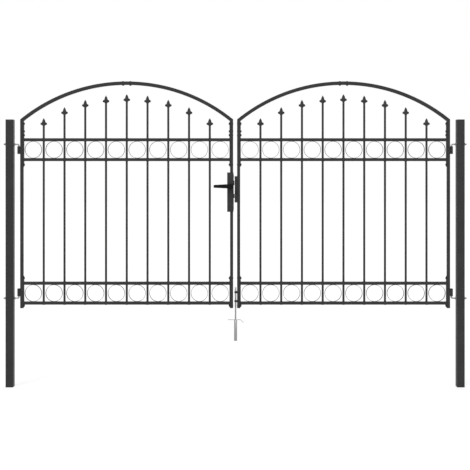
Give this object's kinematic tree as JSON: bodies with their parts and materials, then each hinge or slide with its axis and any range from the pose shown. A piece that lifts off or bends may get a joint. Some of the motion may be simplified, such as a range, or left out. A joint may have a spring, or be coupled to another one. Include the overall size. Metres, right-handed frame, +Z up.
{
  "type": "fence gate",
  "caption": "Arched fence gate with paired leaves of black steel tube hung on posts, with spear-headed bars, ring bands, a lever lock, a strike and a drop bolt.",
  "frame": {"origin": "centre of the flat foot of the left post", "axes": "+X from the left post to the right post, +Y to the back, the side the leaves open to, +Z up"},
  "size_m": [3.034, 0.132, 2],
  "materials": {
    "coat": "black powder coat",
    "cap_plastic": "moulded",
    "zinc": "zinc plated",
    "lever_plastic": "satin",
    "dark_steel": "blackened"
  },
  "bodies": {
    "posts": {"left_post": "coat", "right_post": "coat", "left_post_cap": "cap_plastic", "right_post_cap": "cap_plastic", "left_post_foot_plug": "cap_plastic", "right_post_foot_plug": "cap_plastic", "left_upper_hinge_hook": "zinc", "left_lower_hinge_hook": "zinc", "right_upper_hinge_hook": "zinc", "right_lower_hinge_hook": "zinc", "ground_sleeve": "zinc"},
    "left_leaf": {"left_outer_stile": "coat", "left_inner_stile_upper": "coat", "left_inner_stile_lower": "coat", "left_arch_outer_half": "coat", "left_arch_inner_half": "coat", "left_infill_panel": "coat", "left_upper_hinge_barrel": "coat", "left_lower_hinge_barrel": "coat", "left_stile_plugs": "cap_plastic", "lock_case": "coat", "lock_face_plate": "coat", "key_cylinder": "dark_steel", "front_rose": "lever_plastic", "back_rose": "lever_plastic"},
    "right_leaf": {"right_outer_stile": "coat", "right_inner_stile": "coat", "right_arch_outer_half": "coat", "right_arch_inner_half": "coat", "right_infill_panel": "coat", "right_upper_hinge_barrel": "coat", "right_lower_hinge_barrel": "coat", "right_stile_plugs": "cap_plastic", "strike_box": "coat", "upper_bolt_guide": "coat", "lower_bolt_guide": "coat"},
    "levers": {"front_lever": "lever_plastic", "back_lever": "lever_plastic", "lever_spindle": "zinc"},
    "latch": {"latch_bolt": "dark_steel"},
    "lock_bolt": {"dead_bolt": "dark_steel"},
    "drop_rod": {"drop_bolt": "zinc"}
  },
  "joints": [
    {"name": "left_leaf_swing", "type": "hinge", "parent": "posts", "child": "left_leaf", "pos_m": [0.0574, 0, 0], "axis": [0, 0, 1], "range_deg": [0, 90]},
    {"name": "right_leaf_swing", "type": "hinge", "parent": "posts", "child": "right_leaf", "pos_m": [2.8926, 0, 0], "axis": [0, 0, -1], "range_deg": [0, 90]},
    {"name": "lever_turn", "type": "hinge", "parent": "left_leaf", "child": "levers", "pos_m": [1.448, 0, 1.313], "axis": [0, -1, 0], "range_deg": [0, 40], "stiffness_Nm_per_rad": 1, "springref_deg": -17.19},
    {"name": "latch_slide", "type": "slide", "parent": "left_leaf", "child": "latch", "axis": [-1, 0, 0], "range_m": [0, 0.0045]},
    {"name": "dead_bolt_slide", "type": "slide", "parent": "left_leaf", "child": "lock_bolt", "axis": [-1, 0, 0], "range_m": [-0.012, 0.005]},
    {"name": "drop_bolt_slide", "type": "slide", "parent": "right_leaf", "child": "drop_rod", "axis": [0, 0, 1], "range_m": [-0.01, 0.08]}
  ],
  "couplings": [
    {"joint": "latch_slide", "follows": "lever_turn", "m_per_rad": 0.006}
  ]
}
